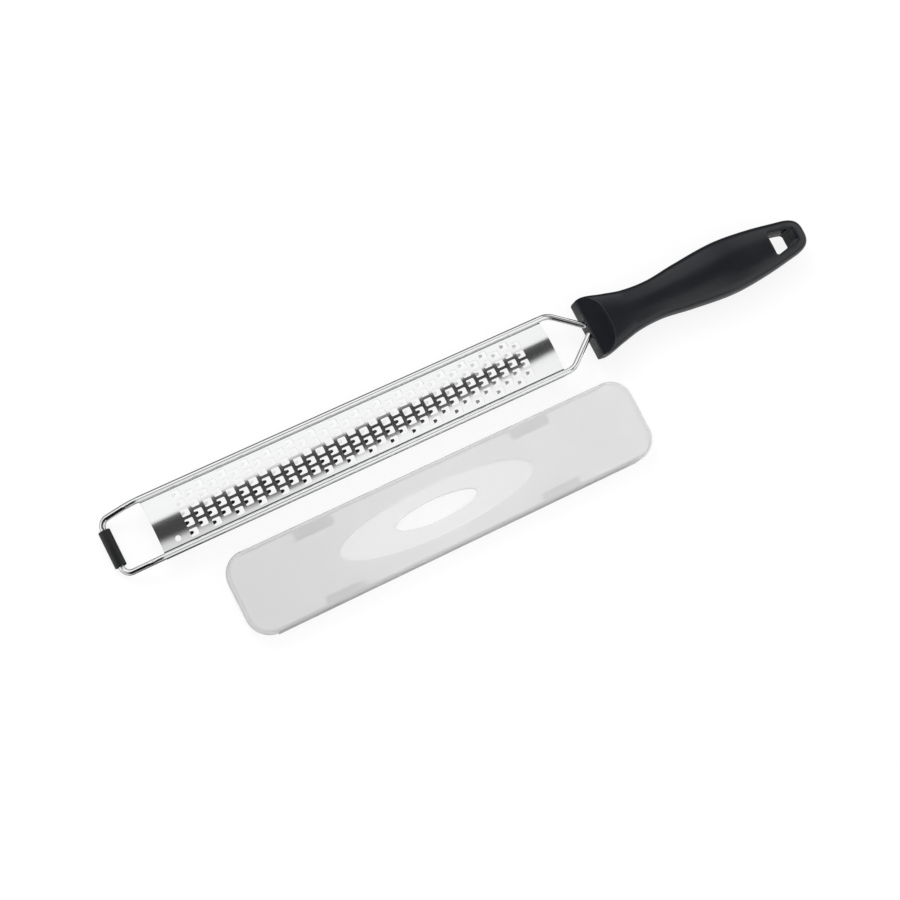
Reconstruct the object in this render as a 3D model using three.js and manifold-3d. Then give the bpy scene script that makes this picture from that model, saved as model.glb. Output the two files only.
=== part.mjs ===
// A long hand-held rasp grater on a bent wire frame, with its snap-on blade cover lying beside it.
// Millimetres, +Z up. The origin is the middle of the foot's underside, where the tip rests on the table.
// +X runs along the grater towards the handle, and Y = 0 is the grater's plane of symmetry.
import * as THREE from 'three';
import { mergeVertices } from 'three/addons/utils/BufferGeometryUtils.js';
import Module from 'manifold-3d';

const wasm = await Module();
wasm.setup();

// Clearance between pieces that touch
const fitGap = 0.3;

// Wire frame: one rod bent to a long loop, with a foot at the tip and two tails in the handle
const rodDiameter = 3;
const rodSpacing = 29.8;
const rodSides = 12;
const bendStep = Math.PI / 9;
const footDrop = 8;
const footRun = 15;
const footInset = 0.95;
const footBendRadius = 4.5;
const kneeBendRadius = 17;
const neckStraight = 2.5;
const neckBendRadius = 9;
const tailGap = 1.8;
const tailBendRadius = 4;
const tailLength = 62;
const tailHook = 5;
const tailHookRadius = 3;

// Foot sleeve on the straight part of the cross bar
const sleeveWall = 1.15;
const sleeveEndGap = 0.3;
const sleeveSides = 16;

// Grating blade
const sheetThickness = 0.5;
const bladeLength = 220;
const bladeKneeGap = 0.43;
const archRise = 1.2;
const archSteps = 6;
const hemStart = Math.PI;
const hemSweep = THREE.MathUtils.degToRad(150);
const hemSteps = 5;
const columnPitch = 6;
const rowPitch = 5;
const plainTip = 15.8;
const plainEnd = 18;
const rowEdge = 0.6;
const columnWeb = 1.8;
const rowWeb = 1.4;
const toothLength = 1.9;
const toothWidth = 1.8;
const toothTipWidth = 1.1;
const toothRise = 0.9;
const toothRelief = 0.1;
const endBow = 0.05;
const tipHoleDiameter = 2.9;
const tipHoleFromEdge = 8.7;
const tipHoleOffset = 9.7;
const tipHoleSides = 12;

// Handle outline from its front face back: the run to each station, and the half width there
const handleFrontGap = 20.9;
const frontHalfWidth = 15.5;
const flareRun = 3.5;
const flareHalfWidth = 16;
const throatRun = 11.5;
const throatHalfWidth = 13.5;
const neckRun = 11;
const neckHalfWidth = 11.2;
const waistRun = 14;
const waistHalfWidth = 10.5;
const hipRun = 17;
const hipHalfWidth = 12.4;
const bellyRun = 26;
const bellyHalfWidth = 14.4;
const shoulderRun = 21;
const shoulderHalfWidth = 12.8;
const endRun = 16;
const endHalfWidth = 10.3;
const endRound = 12;
const endSquareness = 3.4;

// Handle heights over and under the rods' plane. The belly rests on the table.
const frontTop = 3.6;
const frontUnder = 5.7;
const bodyTop = 6;
const bodyUnder = 8.2;
const bellyTop = 7.5;
const endTop = 6.2;
const endUnder = 7.4;
const facetLength = 11;
const frontSquareness = 6;
const bodySquareness = 2.6;
const squareFade = 24;
const handleSides = 24;
const handleStep = 7;
const endSteps = 6;

// Handle inside
const shellWall = 2.6;
const frontWall = 4.5;
const ribThickness = 2.4;
const ribPitch = 14;
const postDiameter = 7;
const pegDiameter = 3.4;
const pegHeight = 2.4;
const sidePegAt = 10;
const sidePegOffset = 9.2;
const rearPegGap = 14;
const pegSides = 16;

// Hanging hole through the handle's end
const hangHoleLength = 13.6;
const hangHoleEndWall = 7.8;
const hangHoleFrontWidth = 13.4;
const hangHoleBackWidth = 7.4;
const hangHoleCorner = 1.6;
const hangHoleWall = 2.4;

// Blade cover, and where it lies
const coverEndLap = 3.3;
const coverSideGap = 3.6;
const coverWall = 1.5;
const coverPlate = 1.5;
const coverHeadroom = 0.8;
const coverCorner = 12;
const coverDraft = 0.4;
const coverEdgeRound = 1.8;
const cornerSteps = 6;
const dishLength = 109;
const dishWidth = 25.5;
const dishDepth = 1.4;
const dishSlope = 1.6;
const dishAhead = 5.6;
const dishAside = 0.8;
const ovalLength = 45;
const ovalWidth = 10.3;
const ovalSides = 32;
const clipLength = 21;
const clipReach = 4.9;
const clipThickness = 1.6;
const clipSpacing = 121.6;
const clipsAhead = 1.7;
const coverApart = 10.45;
const coverShift = 24.2;

// Places that follow from the sizes
const rodRadius = rodDiameter / 2;
const rodY = rodSpacing / 2;
const tailY = (rodDiameter + tailGap) / 2;
const footY = rodY - footInset;
const footLeg = Math.hypot(footRun, footInset, footDrop);
const footBendReach = footBendRadius * Math.tan(Math.acos(footInset / footLeg) / 2);
const kneeBendReach = kneeBendRadius * Math.tan(Math.acos(footRun / footLeg) / 2);
const sleeveRadius = rodRadius + fitGap + sleeveWall;
const sleeveLength = 2 * (footY - footBendReach - sleeveEndGap);
const rodZ = sleeveRadius + footDrop;
const bladeStart = footRun + kneeBendReach + bladeKneeGap;
const bladeStop = bladeStart + bladeLength;
const hemRadius = rodRadius + fitGap + sheetThickness / 2;
const bladeHalf = rodY - hemRadius;
const windowLength = columnPitch - columnWeb;
const windowWidth = rowPitch - rowWeb;
const handleFront = bladeStop + handleFrontGap;
const throatAt = flareRun + throatRun;
const neckAt = throatAt + neckRun;
const waistAt = neckAt + waistRun;
const hipAt = waistAt + hipRun;
const bellyAt = hipAt + bellyRun;
const shoulderAt = bellyAt + shoulderRun;
const endAt = shoulderAt + endRun;
const handleLength = endAt + endRound;
const endTaper = (shoulderHalfWidth - endHalfWidth) / endRun;
const reach = 500;

// Finishes
const polishedSteel = new THREE.MeshStandardMaterial({ color: 0xc9cbcd, roughness: 0.16, metalness: 1 });
const brushedSteel = new THREE.MeshStandardMaterial({ color: 0xbfc1c3, roughness: 0.3, metalness: 1 });
const blackRubber = new THREE.MeshStandardMaterial({ color: 0x1b1d1f, roughness: 0.62, metalness: 0 });
const blackPlastic = new THREE.MeshStandardMaterial({ color: 0x232427, roughness: 0.46, metalness: 0 });
const frostedPlastic = new THREE.MeshStandardMaterial({
  color: 0xe4e4e4, roughness: 0.55, metalness: 0, transparent: true, opacity: 0.7,
});

// Closed geometry to a solid that can be cut and joined
function solidOf(geometry) {
  geometry.deleteAttribute('normal');
  geometry.deleteAttribute('uv');
  const merged = mergeVertices(geometry, 1e-4);
  return new wasm.Manifold(new wasm.Mesh({
    numProp: 3,
    vertProperties: merged.attributes.position.array,
    triVerts: new Uint32Array(merged.index.array),
  }));
}

function geometryOf(solid) {
  const { vertProperties, triVerts } = solid.getMesh();
  const geometry = new THREE.BufferGeometry();
  geometry.setAttribute('position', new THREE.BufferAttribute(vertProperties, 3));
  geometry.setIndex(new THREE.BufferAttribute(triVerts, 1));
  geometry.computeVertexNormals();
  return geometry;
}

function box(lowX, highX, lowY, highY, lowZ, highZ) {
  const geometry = new THREE.BoxGeometry(highX - lowX, highY - lowY, highZ - lowZ);
  geometry.translate((lowX + highX) / 2, (lowY + highY) / 2, (lowZ + highZ) / 2);
  return solidOf(geometry);
}

function uprightCylinder(x, y, lowZ, highZ, diameter) {
  const geometry = new THREE.CylinderGeometry(diameter / 2, diameter / 2, highZ - lowZ, pegSides);
  geometry.rotateX(Math.PI / 2);
  geometry.translate(x, y, (lowZ + highZ) / 2);
  return solidOf(geometry);
}

// Closed body through a row of convex rings with the same number of points
function loft(rings) {
  const count = rings[0].length;
  const positions = rings.flat().flatMap((point) => point.toArray());
  const indices = [];
  for (let ring = 0; ring < rings.length - 1; ring += 1) {
    for (let i = 0; i < count; i += 1) {
      const a = ring * count + i;
      const b = ring * count + (i + 1) % count;
      indices.push(a, b, b + count, a, b + count, a + count);
    }
  }
  const last = (rings.length - 1) * count;
  for (let i = 1; i < count - 1; i += 1) {
    indices.push(0, i + 1, i, last, last + i, last + i + 1);
  }
  const geometry = new THREE.BufferGeometry();
  geometry.setAttribute('position', new THREE.Float32BufferAttribute(positions, 3));
  geometry.setIndex(indices);
  return geometry;
}

// Centre line of a bent rod: straight runs, with each corner rounded to its bend radius
function bentPath(corners) {
  return corners.flatMap(({ at, radius }, i) => {
    if (!radius) return [at];
    const into = at.clone().sub(corners[i - 1].at).normalize();
    const out = corners[i + 1].at.clone().sub(at).normalize();
    const turn = into.angleTo(out);
    const side = out.clone().addScaledVector(into, -Math.cos(turn)).normalize();
    const start = at.clone().addScaledVector(into, -radius * Math.tan(turn / 2));
    const steps = Math.ceil(turn / bendStep);
    return Array.from({ length: steps + 1 }, (_, step) => {
      const angle = turn * step / steps;
      return start.clone()
        .addScaledVector(into, radius * Math.sin(angle))
        .addScaledVector(side, radius * (1 - Math.cos(angle)));
    });
  });
}

// Round rod along a centre line, its section carried along without twist
function rodAlong(points, radius) {
  const directions = points.map((point, i) => {
    const before = points[Math.max(i - 1, 0)];
    const after = points[Math.min(i + 1, points.length - 1)];
    const back = point.clone().sub(before).normalize();
    const ahead = after.clone().sub(point).normalize();
    return back.add(ahead).normalize();
  });
  const across = new THREE.Vector3(0, 0, 1);
  const rings = points.map((point, i) => {
    if (i > 0) {
      across.applyQuaternion(new THREE.Quaternion().setFromUnitVectors(directions[i - 1], directions[i]));
    }
    const other = new THREE.Vector3().crossVectors(directions[i], across);
    return Array.from({ length: rodSides }, (_, side) => {
      const angle = 2 * Math.PI * (side + 0.5) / rodSides;
      return point.clone()
        .addScaledVector(across, radius * Math.cos(angle))
        .addScaledVector(other, radius * Math.sin(angle));
    });
  });
  return loft(rings);
}

// The frame's corners from one tail to the other. extra lengthens both tail ends.
function frameCorners(extra) {
  const hookX = handleFront + tailLength;
  const slopeX = handleFront - bladeStop;
  const neckTurn = Math.atan2(rodY - tailY, slopeX);
  const neckX = bladeStop + neckStraight + neckBendRadius * Math.tan(neckTurn / 2);
  const half = (side) => [
    { at: new THREE.Vector3(hookX, side * (tailY + tailHook + extra), rodZ) },
    { at: new THREE.Vector3(hookX, side * tailY, rodZ), radius: tailHookRadius },
    { at: new THREE.Vector3(handleFront, side * tailY, rodZ), radius: tailBendRadius },
    { at: new THREE.Vector3(neckX, side * rodY, rodZ), radius: neckBendRadius },
    { at: new THREE.Vector3(footRun, side * rodY, rodZ), radius: kneeBendRadius },
    { at: new THREE.Vector3(0, side * footY, sleeveRadius), radius: footBendRadius },
  ];
  return [...half(1), ...half(-1).reverse()];
}

function wireFrame() {
  return rodAlong(bentPath(frameCorners(0)), rodRadius);
}

// Sleeve with flats, one of them underneath at z = 0
function footSleeve() {
  const flats = Math.cos(Math.PI / sleeveSides);
  const inner = (rodRadius + fitGap) / flats;
  const outer = sleeveRadius / flats;
  const half = sleeveLength / 2;
  const profile = [[inner, -half], [outer, -half], [outer, half], [inner, half], [inner, -half]];
  const points = profile.map(([radius, along]) => new THREE.Vector2(radius, along));
  const geometry = new THREE.LatheGeometry(points, sleeveSides, Math.PI / sleeveSides);
  geometry.translate(0, 0, sleeveRadius);
  return geometryOf(solidOf(geometry));
}

// Height of the sheet's middle surface over the rods' plane
function archHeight(y) {
  return archRise * (1 - (y / bladeHalf) ** 2);
}

// Thin sheet given by triangles: a flat plan with windows and teeth, arched across, hooked under both rods
function gratingBlade() {
  const positions = [];
  const halfSheet = sheetThickness / 2;
  const face = (...corners) => {
    for (let i = 1; i < corners.length - 1; i += 1) {
      positions.push(...corners[0], ...corners[i], ...corners[i + 1]);
    }
  };
  // A plan point, as its upper and lower vertex. At the fold over each rod the two are mitred.
  const onSheet = (x, y, lift = 0) => {
    const fold = Math.abs(y) >= bladeHalf ? Math.sign(y) * halfSheet : 0;
    const z = rodZ + archHeight(y) + lift;
    return { x, y, top: [x, y + fold, z + halfSheet], under: [x, y - fold, z - halfSheet] };
  };
  const onHem = (x, side, step) => {
    const angle = hemStart + hemSweep * step / hemSteps;
    const at = (radius) => [x, side * (rodY + radius * Math.cos(angle)), rodZ + radius * Math.sin(angle)];
    return { top: at(hemRadius - halfSheet), under: at(hemRadius + halfSheet) };
  };
  // Wall along an edge that has the sheet on its left
  const wall = (a, b) => face(a.under, b.under, b.top, a.top);
  const wallsRound = (loop) => loop.forEach((point, i) => wall(point, loop[(i + 1) % loop.length]));

  const across = Array.from({ length: archSteps + 1 }, (_, i) => bladeHalf * (1 - 2 * i / archSteps));
  const bow = (y) => endBow * (1 - (y / bladeHalf) ** 2);
  const tipEdge = across.map((y) => onSheet(bladeStart - bow(y), y));
  const endEdge = across.map((y) => onSheet(bladeStop + bow(y), y)).reverse();
  const holes = [];

  // Windows, each with its tooth rising from the edge nearer the tip
  const rowsEachSide = Math.floor((bladeHalf - windowWidth / 2 - rowEdge) / rowPitch);
  const columns = 1 + Math.floor((bladeLength - plainTip - plainEnd) / columnPitch);
  for (let column = 0; column < columns; column += 1) {
    const low = bladeStart + plainTip + column * columnPitch - toothLength / 2;
    const high = low + windowLength;
    const stagger = column % 2 / 2;
    for (let row = -rowsEachSide + stagger; row <= rowsEachSide - stagger; row += 1) {
      const middle = row * rowPitch;
      const at = (x, offset, lift) => onSheet(x, middle + offset, lift);
      const corners = [
        at(low, -windowWidth / 2), at(low - toothRelief, -toothWidth / 2),
        at(low - toothRelief, toothWidth / 2), at(low, windowWidth / 2),
        at(high, windowWidth / 2), at(high, -windowWidth / 2),
      ];
      const [, rootA, rootB] = corners;
      const tipA = at(low + toothLength, -toothTipWidth / 2, toothRise);
      const tipB = at(low + toothLength, toothTipWidth / 2, toothRise);
      corners.forEach((point, i) => {
        if (point !== rootA) wall(point, corners[(i + 1) % corners.length]);
      });
      face(rootA.top, tipA.top, tipB.top, rootB.top);
      face(rootB.under, tipB.under, tipA.under, rootA.under);
      wall(rootA, tipA);
      wall(tipA, tipB);
      wall(tipB, rootB);
      holes.push(corners);
    }
  }

  // Round hole near the tip
  const tipHole = Array.from({ length: tipHoleSides }, (_, i) => {
    const angle = -2 * Math.PI * i / tipHoleSides;
    const x = bladeStart + tipHoleFromEdge + tipHoleDiameter / 2 * Math.cos(angle);
    return onSheet(x, -tipHoleOffset + tipHoleDiameter / 2 * Math.sin(angle));
  });
  wallsRound(tipHole);
  holes.push(tipHole);

  // Upper and lower faces, and the two end edges
  const outline = [...tipEdge, ...endEdge];
  const plan = (loop) => loop.map(({ x, y }) => new THREE.Vector2(x, y));
  const all = [...outline, ...holes.flat()];
  THREE.ShapeUtils.triangulateShape(plan(outline), holes.map(plan)).forEach(([a, b, c]) => {
    face(all[a].top, all[b].top, all[c].top);
    face(all[c].under, all[b].under, all[a].under);
  });
  for (let i = 0; i < archSteps; i += 1) {
    wall(tipEdge[i], tipEdge[i + 1]);
    wall(endEdge[i], endEdge[i + 1]);
  }

  // Hems: strips that run down beside each rod and under it
  [1, -1].forEach((side) => {
    const line = (x) => [
      onSheet(x, side * bladeHalf),
      ...Array.from({ length: hemSteps }, (_, i) => onHem(x, side, i + 1)),
    ];
    const turned = (a, b) => (side > 0 ? [a, b] : [b, a]);
    const [first, second] = turned(line(bladeStart), line(bladeStop));
    for (let i = 0; i < hemSteps; i += 1) {
      face(first[i].top, second[i].top, second[i + 1].top, first[i + 1].top);
      face(first[i + 1].under, second[i + 1].under, second[i].under, first[i].under);
      wall(first[i + 1], first[i]);
      wall(second[i], second[i + 1]);
    }
    wall(second[hemSteps], first[hemSteps]);
  });

  const geometry = new THREE.BufferGeometry();
  geometry.setAttribute('position', new THREE.Float32BufferAttribute(positions, 3));
  return geometryOf(solidOf(geometry));
}

// Smooth curve through knots of place and size along the handle
function smoothThrough(knots) {
  const places = knots.map(([place]) => place);
  const sizes = knots.map(([, size]) => size);
  const curve = new THREE.CubicInterpolant(places, sizes, 1);
  return (place) => curve.evaluate(place)[0];
}

const halfWidthAt = smoothThrough([
  [0, frontHalfWidth], [flareRun, flareHalfWidth], [throatAt, throatHalfWidth], [neckAt, neckHalfWidth],
  [waistAt, waistHalfWidth], [hipAt, hipHalfWidth], [bellyAt, bellyHalfWidth],
  [shoulderAt, shoulderHalfWidth], [endAt, endHalfWidth],
]);
const topAt = smoothThrough([[0, bodyTop], [waistAt, bodyTop], [bellyAt, bellyTop], [endAt, endTop]]);
const underAt = smoothThrough([[0, bodyUnder], [waistAt, bodyUnder], [bellyAt, rodZ], [endAt, endUnder]]);

// Places of the handle's cross-sections between two distances behind its front
function handlePlaces(from, to) {
  const straight = Math.min(to, endAt);
  const marks = [flareRun / 2, flareRun, facetLength].filter((place) => place > from && place < straight);
  const steps = Math.ceil((straight - from) / handleStep);
  const even = Array.from({ length: steps + 1 }, (_, i) => from + (straight - from) * i / steps);
  const round = Array.from({ length: endSteps }, (_, i) => {
    const turn = Math.PI / 2 * (i + 1) / (endSteps + 0.3);
    return endAt + endRound * Math.sin(turn);
  }).filter((place) => place < to);
  return [...even, ...marks, ...round].sort((a, b) => a - b);
}

// Handle body, or its cavity when inset by the wall. The front facets lower the cavity's roof and floor.
function handleBody(from, to, inset) {
  const rings = handlePlaces(from, to).map((place) => {
    const along = Math.min(place, endAt);
    const past = Math.max(place - endAt, 0) / endRound;
    const ease = (1 - past ** endSquareness) ** (1 / endSquareness);
    const slope = inset > 0 ? Math.min(place / facetLength, 1) : 1;
    const halfWidth = (halfWidthAt(along) - endTaper * (place - along)) * ease - inset;
    const top = (frontTop + (topAt(along) - frontTop) * slope) * ease - inset;
    const belly = Math.min(underAt(along), rodZ);
    const under = (frontUnder + (belly - frontUnder) * slope) * ease - inset;
    const fade = Math.min(place / squareFade, 1);
    const squareness = frontSquareness + (bodySquareness - frontSquareness) * Math.sqrt(fade);
    return Array.from({ length: handleSides }, (_, i) => {
      const angle = 2 * Math.PI * i / handleSides;
      const round = (value) => Math.sign(value) * Math.abs(value) ** (2 / squareness);
      const y = halfWidth * round(Math.cos(angle));
      const z = (Math.sin(angle) > 0 ? top : under) * round(Math.sin(angle));
      return new THREE.Vector3(handleFront + place, y, rodZ + z);
    });
  });
  return solidOf(loft(rings));
}

// Sloping flat behind the front edge, above or below
function frontFacet(side, front, body) {
  const rise = Math.atan2(body - front, facetLength);
  const block = new THREE.BoxGeometry(reach, reach, reach);
  block.translate(0, 0, reach / 2);
  block.rotateY(-rise);
  block.scale(1, 1, side);
  if (side < 0) block.index.array.reverse();
  block.translate(handleFront, 0, rodZ + side * front);
  return solidOf(block);
}

// Upright prism of the hanging hole, grown by a margin
function hangHole(margin) {
  const back = handleFront + handleLength - hangHoleEndWall + margin;
  const front = back - hangHoleLength - 2 * margin;
  const wide = hangHoleFrontWidth / 2 + margin;
  const slim = hangHoleBackWidth / 2 + margin;
  const corner = hangHoleCorner + margin;
  const outline = new THREE.Shape();
  outline.moveTo(front, -wide + corner);
  outline.quadraticCurveTo(front, -wide, front + corner, -wide);
  outline.lineTo(back - corner, -slim);
  outline.quadraticCurveTo(back, -slim, back, -slim + corner);
  outline.lineTo(back, slim - corner);
  outline.quadraticCurveTo(back, slim, back - corner, slim);
  outline.lineTo(front + corner, wide);
  outline.quadraticCurveTo(front, wide, front, wide - corner);
  const depth = 4 * rodZ;
  const geometry = new THREE.ExtrudeGeometry(outline, { depth, bevelEnabled: false, curveSegments: 4 });
  geometry.translate(0, 0, -depth / 4);
  return solidOf(geometry);
}

// Both halves of the handle, hollow, ribbed across the wire tails and pegged together
function handleShells() {
  const channel = solidOf(rodAlong(bentPath(frameCorners(fitGap)), rodRadius + fitGap));
  const outside = handleBody(0, handleLength, 0)
    .subtract(frontFacet(1, frontTop, bodyTop))
    .subtract(frontFacet(-1, frontUnder, bodyUnder))
    .subtract(hangHole(0))
    .subtract(channel);
  const hollowEnd = handleLength - hangHoleEndWall - hangHoleLength - hangHoleWall;
  const pegPlaces = [
    [handleFront + sidePegAt, sidePegOffset],
    [handleFront + sidePegAt, -sidePegOffset],
    [handleFront + hollowEnd - rearPegGap, 0],
  ];
  let hollow = handleBody(frontWall, hollowEnd, shellWall).subtract(hangHole(hangHoleWall));
  // The tail hooks bear on the rearmost rib
  const ribBack = handleFront + tailLength - rodRadius - fitGap;
  for (let x = ribBack; x > handleFront + frontWall + ribPitch / 2; x -= ribPitch) {
    hollow = hollow.subtract(box(x - ribThickness, x, -reach, reach, -reach, reach));
  }
  pegPlaces.forEach(([x, y]) => {
    hollow = hollow.subtract(uprightCylinder(x, y, -reach, reach, postDiameter));
  });
  const body = outside.subtract(hollow);
  let upper = body.intersect(box(-reach, reach, -reach, reach, rodZ + fitGap / 2, reach));
  let lower = body.intersect(box(-reach, reach, -reach, reach, -reach, rodZ - fitGap / 2));
  pegPlaces.forEach(([x, y]) => {
    lower = lower.add(uprightCylinder(x, y, rodZ - pegHeight, rodZ + pegHeight, pegDiameter));
    upper = upper.subtract(uprightCylinder(x, y, 0, rodZ + pegHeight + fitGap, pegDiameter + 2 * fitGap));
  });
  return { upper: geometryOf(upper), lower: geometryOf(lower) };
}

// Rounded rectangle at a height, drawn in by an inset
function coverRing(z, inset) {
  const corner = coverCorner - inset;
  const cornerX = coverLength / 2 - inset - corner;
  const cornerY = coverWidth / 2 - inset - corner;
  return [[1, 1], [-1, 1], [-1, -1], [1, -1]].flatMap(([sideX, sideY], quarter) => (
    Array.from({ length: cornerSteps + 1 }, (_, i) => {
      const angle = Math.PI / 2 * (quarter + i / cornerSteps);
      const x = sideX * cornerX + corner * Math.cos(angle);
      return new THREE.Vector3(x, sideY * cornerY + corner * Math.sin(angle), z);
    })
  ));
}

// Oval about the dish's middle, which is nearer the tip end and the outer side
function ovalRing(z, length, width) {
  return Array.from({ length: ovalSides }, (_, i) => {
    const angle = 2 * Math.PI * i / ovalSides;
    const x = length / 2 * Math.cos(angle) - dishAhead;
    return new THREE.Vector3(x, width / 2 * Math.sin(angle) - dishAside, z);
  });
}

// Heights over the cover's rim when it is snapped on: the hems lie on the clips, the teeth under the dish
const seatedRodZ = clipThickness + fitGap + hemRadius + sheetThickness / 2;
const seatedToothZ = seatedRodZ + archRise + sheetThickness / 2 + toothRise;
const dishUnderZ = seatedToothZ + coverHeadroom;
const coverHeight = dishUnderZ + coverPlate + dishDepth;
const coverLength = bladeLength + 2 * coverEndLap;
const coverWidth = rodSpacing + rodDiameter + 2 * (coverSideGap + coverWall);

// Cover in its own frame, rim down on z = 0, centred on its length and width
function bladeCover() {
  const midArc = coverEdgeRound * (1 - Math.SQRT1_2);
  const outside = loft([
    coverRing(0, 0),
    coverRing(coverHeight - coverEdgeRound, coverDraft),
    coverRing(coverHeight - midArc, coverDraft + midArc),
    coverRing(coverHeight, coverDraft + coverEdgeRound),
  ]);
  const inside = loft([
    coverRing(-1, coverWall),
    coverRing(coverHeight - coverPlate, coverWall + coverDraft),
  ]);
  const sunk = (drop, grow) => {
    const narrowing = 2 * dishSlope - grow;
    return solidOf(loft([
      ovalRing(coverHeight - dishDepth - drop, dishLength - narrowing, dishWidth - narrowing),
      ovalRing(coverHeight - drop, dishLength + grow, dishWidth + grow),
    ]));
  };
  const oval = solidOf(loft([
    ovalRing(0, ovalLength, ovalWidth), ovalRing(2 * coverHeight, ovalLength, ovalWidth),
  ]));
  const hollow = solidOf(inside).subtract(sunk(coverPlate, 2 * coverWall));
  let cover = solidOf(outside).subtract(hollow).subtract(sunk(0, 0)).subtract(oval);
  // The rounded ends stop above the rods that pass out under them
  const wallEnd = coverLength / 2 - coverCorner;
  const rodPass = seatedRodZ + rodRadius + fitGap;
  cover = cover.subtract(box(-reach, -wallEnd, -reach, reach, -reach, rodPass));
  cover = cover.subtract(box(wallEnd, reach, -reach, reach, -reach, rodPass));
  const wallInside = coverWidth / 2 - coverWall;
  [-1, 1].forEach((end) => [-1, 1].forEach((side) => {
    const x = end * clipSpacing / 2 - clipsAhead;
    const inner = side * (wallInside - clipReach);
    const outer = side * (wallInside + coverWall / 2);
    const [lowY, highY] = [Math.min(inner, outer), Math.max(inner, outer)];
    cover = cover.add(box(x - clipLength / 2, x + clipLength / 2, lowY, highY, 0, clipThickness));
  }));
  return geometryOf(cover);
}

function piece(name, geometry, material) {
  const mesh = new THREE.Mesh(geometry, material);
  mesh.name = name;
  return mesh;
}

const shells = handleShells();
const grater = new THREE.Group();
grater.add(
  piece('wire_frame', wireFrame(), polishedSteel),
  piece('foot_sleeve', footSleeve(), blackRubber),
  piece('grating_blade', gratingBlade(), brushedSteel),
  piece('handle_upper_shell', shells.upper, blackPlastic),
  piece('handle_lower_shell', shells.lower, blackPlastic),
);

const coverPlace = new THREE.Group();
const coverX = (bladeStart + bladeStop) / 2 + coverShift;
coverPlace.position.set(coverX, -(rodY + rodRadius + coverApart + coverWidth / 2), 0);
coverPlace.add(piece('blade_cover', bladeCover(), frostedPlastic));

const part = new THREE.Group();
part.add(grater, coverPlace);
export default part;
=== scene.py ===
import bisect
import math

import bmesh
import bpy
from mathutils import Matrix, Vector


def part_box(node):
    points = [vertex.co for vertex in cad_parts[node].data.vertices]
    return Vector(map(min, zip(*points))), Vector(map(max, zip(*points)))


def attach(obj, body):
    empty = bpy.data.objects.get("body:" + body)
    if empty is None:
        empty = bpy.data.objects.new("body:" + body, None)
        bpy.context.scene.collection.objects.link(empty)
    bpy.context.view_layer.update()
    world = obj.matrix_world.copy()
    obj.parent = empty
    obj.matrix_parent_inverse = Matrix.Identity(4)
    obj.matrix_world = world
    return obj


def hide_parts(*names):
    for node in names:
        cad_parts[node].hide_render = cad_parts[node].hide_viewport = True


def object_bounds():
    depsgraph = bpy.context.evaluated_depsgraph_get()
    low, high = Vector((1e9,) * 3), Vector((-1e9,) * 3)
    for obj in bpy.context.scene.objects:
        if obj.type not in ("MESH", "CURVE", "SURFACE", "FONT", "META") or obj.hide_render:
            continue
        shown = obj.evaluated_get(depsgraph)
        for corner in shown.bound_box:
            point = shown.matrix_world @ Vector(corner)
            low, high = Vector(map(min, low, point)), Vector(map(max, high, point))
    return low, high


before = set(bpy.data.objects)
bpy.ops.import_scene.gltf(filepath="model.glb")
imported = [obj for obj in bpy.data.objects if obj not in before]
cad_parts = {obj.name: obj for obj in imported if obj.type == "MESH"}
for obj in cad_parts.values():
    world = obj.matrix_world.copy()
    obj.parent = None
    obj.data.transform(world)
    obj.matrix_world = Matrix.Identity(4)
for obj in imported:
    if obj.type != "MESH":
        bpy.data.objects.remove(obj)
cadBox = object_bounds()

mm = 0.001  # the dictionaries hold millimetres, the scene is in metres
mergeReach = 0.002  # points nearer than this are one
noiseSpread = (0.3, 0.7)  # most of a noise texture's values lie between these


def placeOf(node):
    low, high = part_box(node)
    return low / mm, high / mm


sleeveLow, sleeveHigh = placeOf("foot_sleeve")
bladeLow, bladeHigh = placeOf("grating_blade")
handleLow, handleHigh = placeOf("handle_lower_shell")
coverLow, coverHigh = placeOf("blade_cover")


# Node and mesh helpers

def put(tree, kind, inputs=None, **settings):
    node = tree.nodes.new(kind)
    for key, value in settings.items():
        setattr(node, key, value)
    for key, value in (inputs or {}).items():
        if isinstance(value, bpy.types.NodeSocket):
            tree.links.new(value, node.inputs[key])
        else:
            node.inputs[key].default_value = value
    return node


def calc(tree, operation, *values):
    return put(tree, "ShaderNodeMath", dict(enumerate(values)), operation=operation).outputs[0]


def mapped(tree, value, start, stop, low=0.0, high=1.0, **settings):
    return put(tree, "ShaderNodeMapRange", {
        0: value, 1: start, 2: stop, 3: low, 4: high}, **settings).outputs[0]


def mixed(tree, share, first, second):
    return put(tree, "ShaderNodeMix", {0: share, 2: first, 3: second}).outputs[0]


def parted(tree, vector):
    return put(tree, "ShaderNodeSeparateXYZ", {0: vector}).outputs


def objectPlace(tree):
    return put(tree, "ShaderNodeTexCoord").outputs["Object"]


def dress(tree, geometry, material, result):
    whole = put(tree, "GeometryNodeRealizeInstances", {0: geometry})
    dressed = put(tree, "GeometryNodeSetMaterial", {0: whole.outputs[0], "Material": material})
    tree.links.new(dressed.outputs[0], result[0])


def newTree(name, kind, inputs, outputs):
    tree = bpy.data.node_groups.new(name, kind)
    for label, socket in inputs.items():
        tree.interface.new_socket(label, in_out="INPUT", socket_type="NodeSocket" + socket)
    for label, socket in outputs.items():
        tree.interface.new_socket(label, in_out="OUTPUT", socket_type="NodeSocket" + socket)
    return tree, put(tree, "NodeGroupInput").outputs, put(tree, "NodeGroupOutput").inputs


def tempObject(name, mesh):
    made = bpy.data.objects.new(name, mesh)
    bpy.context.scene.collection.objects.link(made)
    return made


def useTree(source, tree, values):
    modifier = source.modifiers.new(tree.name, "NODES")
    modifier.node_group = tree
    for item in tree.interface.items_tree:
        if item.in_out == "INPUT" and item.name in values:
            modifier[item.identifier] = values[item.name]


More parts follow.
